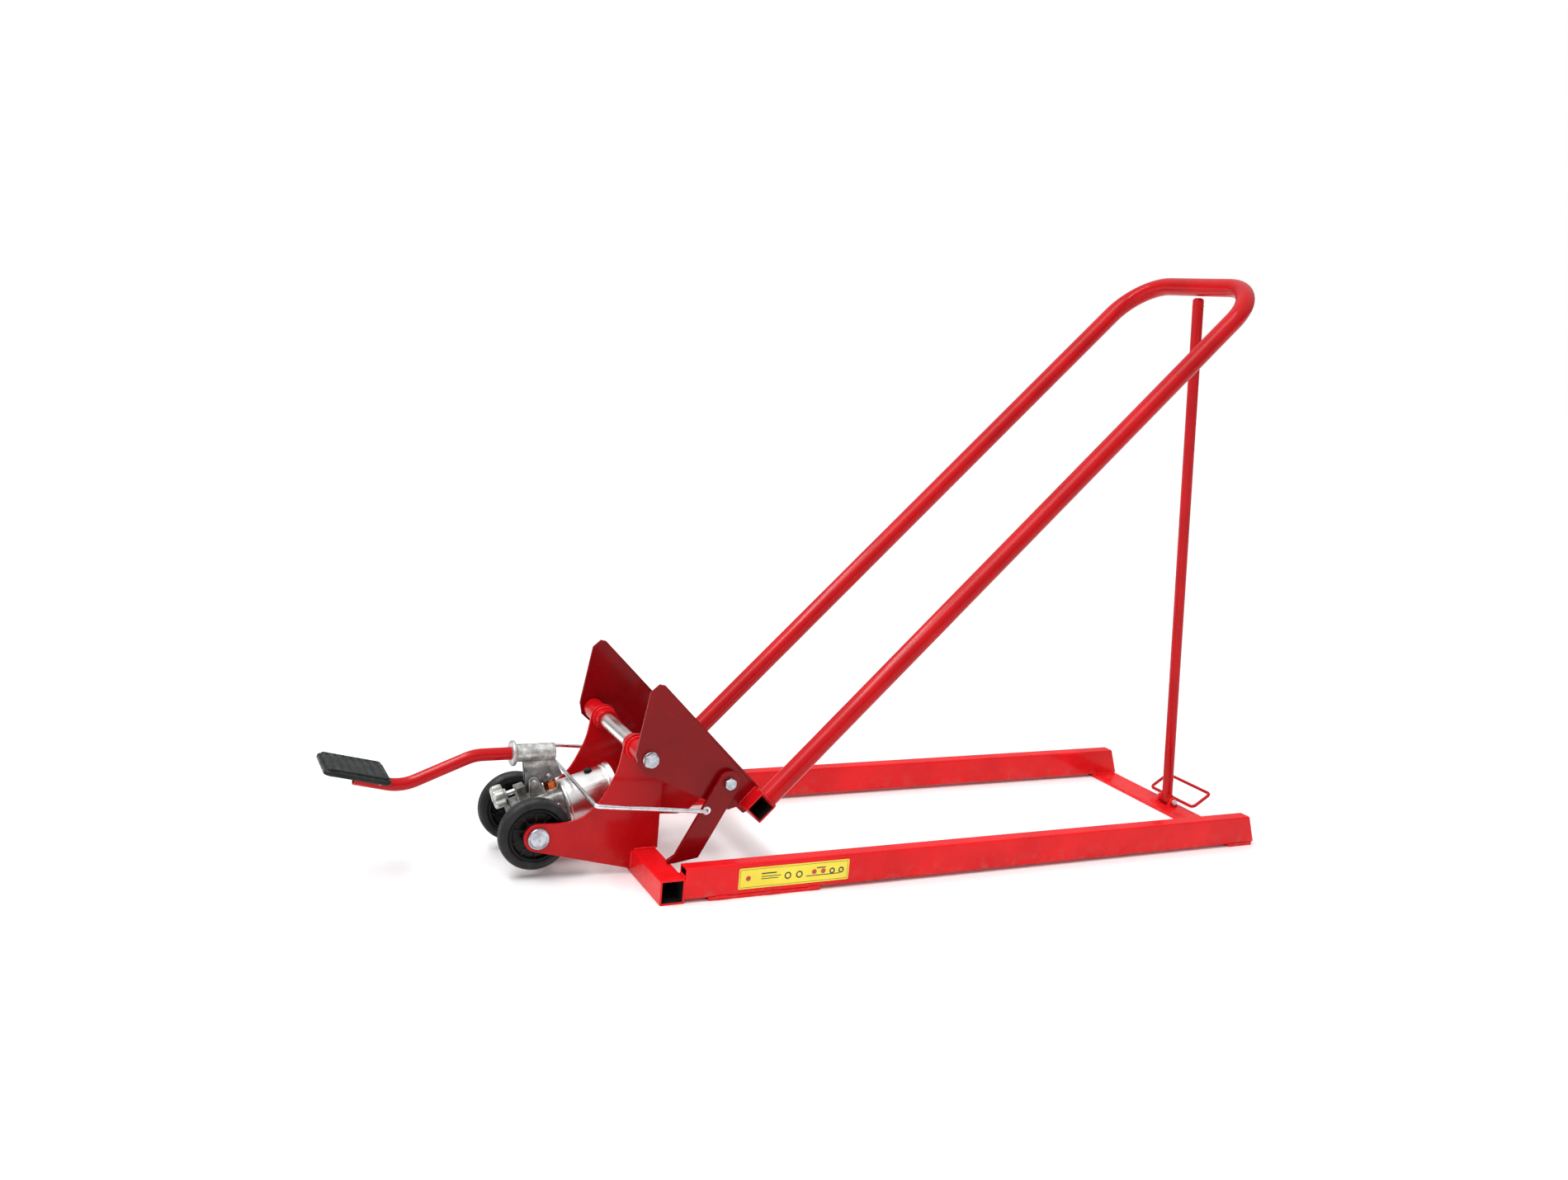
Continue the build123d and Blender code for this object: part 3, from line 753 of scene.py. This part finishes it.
def make_bail_clips():
    """Push nuts on the bail wire's ends, against the safety legs."""
    profile = [(3.35, 156.2), (3.35, 156.7), (4.2, 157.1), (6.6, 156.9), (6.9, 156.3)]
    clips = Shell()
    for _, place in SIDES:
        clips.lathe(place(BAIL_HOLE), profile, 40, ring=True)
    clips.piece("bail_push_nuts", "safety_latch", "zinc_plate")


def make_oilway_plugs():
    """Screwed plugs on both sides of the jack's base, at (s, t, radius)."""
    plugs = Shell()
    for sign, place in SIDES:
        for s, t, size in ((44, -12, 6.5), (20, 14, 5.0), (54, 14, 4.5)):
            profile = [(0.4, 0.4), (size, 0.4), (size, 2.6), (size - 0.6, 3.2), (0.62 * size, 3.2),
                       (0.55 * size, 1.8), (0.4, 1.8)]
            plugs.lathe(place(jack(s, 0, t), sign * 27.2), profile, 48)
    plugs.piece("jack_oilway_plugs", "jack", "zinc_plate")


# ---------------------------------------- jack trim


def make_reservoir_trim():
    """Rolled seams at both ends of the reservoir and a wiper ring on the gland nut."""
    tank = JACK @ Matrix.Translation(at(0, 0, TANK_T)) @ Matrix.Rotation(math.pi / 2, 4, "Y")
    tank_r, swell = 36.0, 1.3
    seams = Shell()
    for s in (69.5, 141.5):
        profile = [(tank_r - 0.4, s - 3.0), (tank_r + 0.7, s - 2.6), (tank_r + swell, s - 1.2),
                   (tank_r + swell, s + 1.2), (tank_r + 0.7, s + 2.6), (tank_r - 0.4, s + 3.0)]
        seams.lathe(tank, profile, 96, ring=True)
    seams.piece("reservoir_seams", "jack", "jack_silver")

    wiper = Shell()
    profile = [(13.1, 156.0), (17.0, 156.0), (17.0, 158.2), (15.4, 158.7), (13.1, 158.9)]
    wiper.lathe(RAM_WAY, profile, 72, ring=True)
    wiper.piece("ram_wiper", "jack", "black_plastic")


def make_ram():
    """Chromed ram: turned down where it runs inside the jack, grooved behind the saddle."""
    full, hidden, groove, tail, tip = 12.98, 12.0, 12.4, 100.2, 242.35
    rod = Shell()
    rod.lathe(RAM_WAY, [(0.5, tail), (hidden - 1.0, tail), (hidden, tail + 1.0), (hidden, 152.0),
                        (full, 153.6), (full, 238.6), (groove, 239.0), (groove, 240.0),
                        (full, 240.4), (full, tip), (0.5, tip)])
    rod.piece("ram_rod", "ram", "ram_chrome", replaces=("jack_ram",))


def make_filler_plug():
    """Push-in oil plug with a ribbed grip."""
    ribs = 16

    def grip(base, depth):
        return lambda a: base + depth * math.cos(ribs * a)

    plug = Shell()
    rows = [(grip(1.0, 0), 0.3), (grip(6.6, 0), 0.3), (grip(6.9, 0), 1.0), (grip(6.1, 0.35), 1.5),
            (grip(6.0, 0.35), 4.0), (grip(5.4, 0.15), 4.9), (grip(4.0, 0), 5.2), (grip(1.0, 0), 5.3)]
    plug.polar(JACK @ Matrix.Translation(at(118, 0, 40.0)), [(r, steady(h)) for r, h in rows], 96)
    plug.piece("filler_plug_ribbed", "jack", "black_plastic", replaces=("filler_plug",))


def make_knob():
    """Six-lobed cast release knob with a domed boss and a hex screw."""
    place = JACK @ Matrix.Translation(at(-16, 0, KNOB_T)) @ Matrix.Rotation(-math.pi / 2, 4, "Y")
    lobes, grip = 6, 17.0

    def edge(scale, depth):
        def radius(a):
            wave = math.cos(lobes * a)
            return scale * (grip + depth * (wave - 0.25 * wave * wave))
        return radius

    rows = [(steady(4.2), 0.0), (steady(8.4), 0.0), (steady(9.0), 0.7), (steady(9.2), 3.2),
            (edge(0.62, 1.0), 4.0), (edge(0.88, 2.2), 4.4), (edge(0.97, 2.8), 5.4),
            (edge(1.0, 3.0), 7.2), (edge(1.01, 3.1), 12.0), (edge(1.0, 3.0), 18.4),
            (edge(0.96, 2.8), 20.6), (edge(0.86, 2.2), 21.8), (edge(0.72, 1.2), 22.2),
            (steady(10.2), 21.4), (steady(9.4), 19.6), (steady(6.6), 19.2), (steady(1.0), 19.2)]
    knob = Shell()
    knob.polar(place, [(r, steady(h)) for r, h in rows], 120)
    knob.hexagon(place @ Matrix.Translation(at(0, 0, 19.0)), 10, 3.6)
    knob.piece("release_knob_cast", "valve", "knob_cast", replaces=("release_knob",))


# ---------------------------------------- pedal pad


PAD_X, PAD_Y, PAD_CORNER = 46.0, 42.0, 6.0
PAD_BOTTOM, PAD_TOP = 4.05, 10.6


def pad_height(x, y):
    """Top of the tread: bars across the pad with dimples between them, inside a plain round rim."""
    round_over, plain_rim = 2.2, 4.5
    bar_pitch, groove, dimple_pitch, dimple = 12.0, 2.2, 7.0, 0.25
    dx, dy = abs(x) - (PAD_X - PAD_CORNER), abs(y) - (PAD_Y - PAD_CORNER)
    outside = math.hypot(max(dx, 0.0), max(dy, 0.0))
    inside = PAD_CORNER - outside - min(0.0, max(dx, dy))
    rise = min(1.0, max(0.0, inside / round_over))
    lift = PAD_TOP
    if inside > plain_rim:
        bar = 0.5 + 0.5 * math.cos(TAU * (x + bar_pitch / 2) / bar_pitch)
        lift -= groove * (1 - min(1.0, max(0.0, bar * 2.6 - 0.55)))
        lift += dimple * math.cos(TAU * y / dimple_pitch) * (bar < 0.3)
    return PAD_BOTTOM + (lift - PAD_BOTTOM) * math.sqrt(max(0.0, 1 - (1 - rise) ** 2))


def pad_lip(pad):
    """The rounded lip that grips the edge of the plate."""
    section = ((2.3, 0.4), (3.1, 0.2), (3.8, 1.2), (3.8, 5.0), (2.9, 6.8), (-0.6, 7.0), (-0.6, 4.2),
               (2.3, 4.15))
    rows = []
    for out, z in section:
        row = []
        for sx, sy, start in ((1, 1, 0), (-1, 1, 90), (-1, -1, 180), (1, -1, 270)):
            for k in range(9):
                a = math.radians(start + 90 * k / 8)
                row.append(PEDAL @ at(sx * (PAD_X - PAD_CORNER) + (PAD_CORNER + out) * math.cos(a),
                                      sy * (PAD_Y - PAD_CORNER) + (PAD_CORNER + out) * math.sin(a), z))
        rows.append(row)
    pad.rings(rows, close_rows=True)


def make_pad():
    """Rubber tread moulded over the plate."""
    nx, ny, side_height = 138, 84, 1.6
    pad = Shell()
    index = {}
    for layer in (0, 1):
        for i in range(nx + 1):
            for j in range(ny + 1):
                x, y = PAD_X * (2 * i / nx - 1), PAD_Y * (2 * j / ny - 1)
                dx, dy = abs(x) - (PAD_X - PAD_CORNER), abs(y) - (PAD_Y - PAD_CORNER)
                if dx > 0 and dy > 0:
                    reach = max(dx, dy) / math.hypot(dx, dy)
                    x = math.copysign(PAD_X - PAD_CORNER + dx * reach, x)
                    y = math.copysign(PAD_Y - PAD_CORNER + dy * reach, y)
                z = pad_height(x, y) if layer else PAD_BOTTOM
                if layer and (i in (0, nx) or j in (0, ny)):
                    z = PAD_BOTTOM + side_height
                index[layer, i, j] = len(pad.verts)
                pad.verts.append(PEDAL @ at(x, y, z))
    for i in range(nx):
        for j in range(ny):
            for layer in (0, 1):
                ring = [index[layer, i, j], index[layer, i + 1, j], index[layer, i + 1, j + 1],
                        index[layer, i, j + 1]]
                pad.faces.append(tuple(ring if layer else reversed(ring)))
    loop = [(i, 0) for i in range(nx)] + [(nx, j) for j in range(ny)]
    loop += [(i, ny) for i in range(nx, 0, -1)] + [(0, j) for j in range(ny, 0, -1)]
    for a, b in zip(loop, loop[1:] + loop[:1]):
        pad.faces.append((index[0, *a], index[0, *b], index[1, *b], index[1, *a]))
    pad_lip(pad)
    pad.piece("pedal_tread", "pedal", "pad_rubber", replaces=("pedal_pad",))


# ---------------------------------------- sticker


def panel(shell, centre, x_range, z_range, lift, corner, thick):
    """A thin upright plate with round corners, its face lift millimetres out of the rail."""
    (x0, x1), (z0, z1) = x_range, z_range
    rows = []
    for depth, inset in ((thick, 0.0), (0.05, 0.0), (0.0, 0.05)):
        row = []
        for cx, cz, start in ((x1, z1, 0), (x0, z1, 90), (x0, z0, 180), (x1, z0, 270)):
            for k in range(7):
                a = math.radians(start + 15 * k)
                px = cx - math.copysign(corner, cx - (x0 + x1) / 2) + (corner - inset) * math.cos(a)
                pz = cz - math.copysign(corner, cz - (z0 + z1) / 2) + (corner - inset) * math.sin(a)
                row.append(centre + at(px, depth - lift, pz))
        rows.append(row)
    shell.rings(rows, cap_start=True, cap_end=True)


def make_sticker():
    """Plain yellow vinyl with a border line and a few abstract dots and bars."""
    low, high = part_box("rail_sticker")
    centre = Vector(((low.x + high.x) / 2, low.y, (low.z + high.z) / 2))
    half_x, half_z = (high.x - low.x) / 2 / MM, (high.z - low.z) / 2 / MM
    sheet = Shell()
    panel(sheet, centre, (-half_x, half_x), (-half_z, half_z), 0.0, 2.5, 0.38)
    sheet.piece("rail_sticker_vinyl", "base", "sticker", replaces=("rail_sticker",))

    lift, thick, line, margin = 0.05, 0.1, 0.7, 2.2
    ink = Shell()
    inner_x, inner_z = half_x - margin, half_z - margin
    for z in (-inner_z, inner_z - line):
        panel(ink, centre, (-inner_x, inner_x), (z, z + line), lift, 0.3, thick)
    for x in (-inner_x, inner_x - line):
        panel(ink, centre, (x, x + line), (-inner_z, inner_z), lift, 0.3, thick)
    bars = ((-58, 5.0, 26, 2.2), (-58, 0.4, 34, 1.4), (-58, -3.2, 30, 1.4), (20, -6.0, 60, 1.6),
            (38, 6.0, 16, 2.0))
    for x, z, width, height in bars:
        panel(ink, centre, (x, x + width), (z, z + height), lift, 0.6, thick)
    face = Matrix.Translation(centre) @ Matrix.Rotation(math.pi / 2, 4, "X")
    rings = ((-12, -1, 6.0, 3.6), (8, -1, 6.0, 3.6), (66, 0, 5.0, 2.6), (82, 0, 5.0, 2.6))
    for x, z, outer, inner in rings:
        profile = [(inner, -0.1), (outer, -0.1), (outer, lift), (inner, lift)]
        ink.lathe(face @ Matrix.Translation(at(x, z, 0)), profile, 48, ring=True)
    ink.piece("rail_sticker_marks", "base", "sticker", "sticker_ink")

    dots = Shell()
    profile = [(0.5, -0.1), (4.2, -0.1), (4.2, lift), (0.5, lift)]
    for x, z in ((-80, 0), (34, 1), (50, 1)):
        dots.lathe(face @ Matrix.Translation(at(x, z, 0)), profile, 40)
    dots.piece("rail_sticker_dots", "base", "sticker", "sticker_red")


# ---------------------------------------- painted shade inside the tubes


def lining(shell, corner, first, second, ends):
    """A thin square sleeve; corner turns (a, b, along) into a point, the rest are the ranges."""
    rows = []
    for inset, stops in ((0.06, ends), (0.22, ends[::-1])):
        a0, a1, b0, b1 = first[0] + inset, first[1] - inset, second[0] + inset, second[1] - inset
        for along in stops:
            rows.append([corner(a, b, along) for a, b in ((a0, b0), (a1, b0), (a1, b1), (a0, b1))])
    shell.rings(rows, close_rows=True)


def make_linings():
    """Near-black sleeves inside the open square tubes: painted shade where their insides fall dark."""
    wall, rail_wall = 3.0, 2.5
    bore = TUBE_HALF - wall
    end = RAIL_OUT - 1.5
    inside = Shell()
    lining(inside, lambda a, b, y: at(a, y, b), (-bore, bore), (wall, TUBE_TOP - wall), (-end, end))
    for sign in (-1, 1):
        lining(inside, lambda a, b, x: at(x, sign * a, b), (RAIL_IN + rail_wall, RAIL_OUT - rail_wall),
               (FOOT_TOP + rail_wall, FOOT_TOP + 50.0 - rail_wall), (TUBE_HALF + 1.0, 1140))
    inside.piece("tube_insides_painted_shade", "base", "bush_steel", "painted_shade_lining")

    cross_half = 17.5 - wall
    inside = Shell()
    lining(inside, lambda u, v, y: arm(u, y, v), (CROSS_U - cross_half, CROSS_U + cross_half),
           (ARM_V - cross_half, ARM_V + cross_half), (-172.5, 172.5))
    inside.piece("cross_tube_inside_painted_shade", "lift_arm", "bush_steel", "painted_shade_lining")


# ---------------------------------------- welds


def weld_base():
    """Beads where the rails, cheeks, pivot collars, feet and hinge ears meet the base."""
    rail_in, cheek_out, cheek_in = RAIL_IN - 0.6, CHEEK_OUT + 0.8, CHEEK_IN - 0.8
    over, foot, face, collar_r = TUBE_TOP + 0.7, FOOT_TOP + 0.6, TUBE_HALF + 0.6, 17.6
    beads = Shell()
    for sign, place in SIDES:
        beads.bead([at(face, sign * rail_in, 8), at(face, sign * rail_in, 40.4)], 2.2, seed=2)
        beads.bead([at(20.3, sign * 191, 40.8), at(20.3, sign * 213, 40.8)], 2.4, seed=3)
        beads.bead([at(-18, sign * cheek_out, over), at(19, sign * cheek_out, over)], 2.6, seed=4)
        beads.bead([at(-20.8, sign * cheek_out, 10), at(-20.8, sign * cheek_out, 38)], 2.4, seed=5)
        beads.bead([at(-18, sign * cheek_in, over), at(16, sign * cheek_in, over)], 2.2, seed=6)
        beads.bead([at(16.4, sign * 78, over), at(16.4, sign * 61, over)], 2.0, seed=7)
        beads.bead(circle(place(PIVOT), collar_r, CHEEK_OUT + 0.9), 2.2, closed=True, seed=8)
        beads.bead(circle(place(PIVOT), collar_r, CHEEK_IN - 0.7), 2.2, closed=True, seed=9)
        for x in (64, 150, 222):
            inner, outer = sign * (RAIL_IN - 0.8), sign * (RAIL_OUT - 0.1)
            beads.bead([at(x, inner, 5.6), at(x + 28, inner, 5.6)], 2.2, seed=x)
            beads.bead([at(x + 6, outer, 5.2), at(x + 30, outer, 5.2)], 2.0, seed=x + 1)
        inner = sign * (RAIL_IN - 0.7)
        beads.bead([at(1102, inner, foot), at(1156, inner, foot)], 2.4, seed=12)
        beads.bead([at(1125, sign * 19.4, 6.5), at(1147, sign * 19.4, 6.5)], 1.9, seed=13)
        beads.bead([at(1125, sign * 13.6, 6.5), at(1147, sign * 13.6, 6.5)], 1.6, seed=14)
    beads.piece("frame_welds", "base", "red_paint")


def weld_arm():
    """Beads round the cross tube at the plates, round the lift tube's feet and along the ram lugs."""
    near_u, far_u, low_v, tube_r = 52.0, 88.0, 166.0, 16.6
    beads = Shell()
    for sign in (-1, 1):
        for y in (PLATE_OUT + 0.6, PLATE_IN - 0.6):
            corners = ((near_u, 183), (near_u, low_v), (far_u, low_v), (far_u, 173))
            beads.bead([arm(u, sign * y, v) for u, v in corners], 2.4, seed=int(y))
        foot = [arm(88.2, sign * TUBE_Y + tube_r * math.cos(TAU * i / 48),
                    ARM_V + tube_r * math.sin(TAU * i / 48)) for i in range(48)]
        beads.bead(foot, 2.5, closed=True, seed=21)
        for y in (48.6, 41.4):
            beads.bead([arm(54, sign * y, 165.9), arm(86, sign * y, 165.9)], 2.2, seed=int(y))
    beads.piece("arm_welds", "lift_arm", "red_paint", "red_tubes_painted_shade")


def weld_prop():
    """Beads at the kick loop and round the rod's foot, clear of the rear bar, and the tip's seam."""
    beads = Shell()
    for sign in (-1, 1):
        beads.bead([at(1146.2, sign * 2, 20.0), at(1146.6, sign * 12.5, 19.6)], 2.0, seed=31)
    reach = middle("prop_tip") - PROP_HINGE
    place = Matrix.Translation(PROP_HINGE) @ Matrix.Rotation(math.atan2(reach.x, reach.z), 4, "Y")
    rod_r, knuckle_r = 10.2, 9.4
    foot = []
    for i in range(-14, 15):
        a = TAU * i / 41
        x, y = rod_r * math.cos(a), rod_r * math.sin(a)
        saddle = math.sqrt(max(0.0, knuckle_r ** 2 - min(9.3, abs(x)) ** 2))
        foot.append(place @ at(x, y, max(saddle, 1.5) + 0.6))
    beads.bead(foot, 1.9, seed=32)
    beads.bead(circle(place, 9.7, reach.length / MM - 7.4, 40), 1.1, closed=True, seed=33)
    beads.piece("prop_welds", "prop", "red_paint", "red_tubes_painted_shade")


def weld_pedal():
    """Beads between the pedal tube and its plate."""
    beads = Shell()
    for sign in (-1, 1):
        start, stop = PEDAL @ at(2, sign * 7.6, -1.6), PEDAL @ at(46, sign * 7.6, -1.6)
        beads.bead([start, stop], 2.2, seed=41)
    beads.piece("pedal_welds", "pedal", "red_paint", "red_tubes_painted_shade")


# ---------------------------------------- floor


def make_floor():
    """A pale round floor, smooth out to the horizon."""
    f = Finish("pale_floor", {"Metallic": 0.0, "Specular IOR Level": 0.2})
    tone = f.mix(f.noise(2.0, 3), (0.93, 0.93, 0.93), (0.95, 0.95, 0.95))
    material = f.done(tone, f.remap(f.noise(6, 3), 0.3, 0.7, 0.6, 0.75), [(f.noise(300, 3), 0.00005)])
    shell = Shell()
    rows = [circle(Matrix.Identity(4), r, 0.0, 96) for r in (400, 1500, 4000, 14000, 60000)]
    shell.rings(rows, cap_start=True)
    mesh = bpy.data.meshes.new("studio_floor")
    mesh.from_pydata([tuple(v) for v in shell.verts], [], shell.faces)
    mesh.materials.append(material)
    floor = bpy.data.objects.new("studio_floor", mesh)
    bpy.context.scene.collection.objects.link(floor)


# ---------------------------------------- the scene

make_camera()
make_studio()
finishes = make_finishes()
dress_cad()
make_wheel("near")
make_wheel("far")
make_axle()
make_pivot_bolt()
make_leg_pins()
make_pedal_nuts()
make_bail_clips()
make_oilway_plugs()
make_reservoir_trim()
make_ram()
make_filler_plug()
make_knob()
make_pad()
make_sticker()
make_linings()
weld_base()
weld_arm()
weld_prop()
weld_pedal()
make_floor()
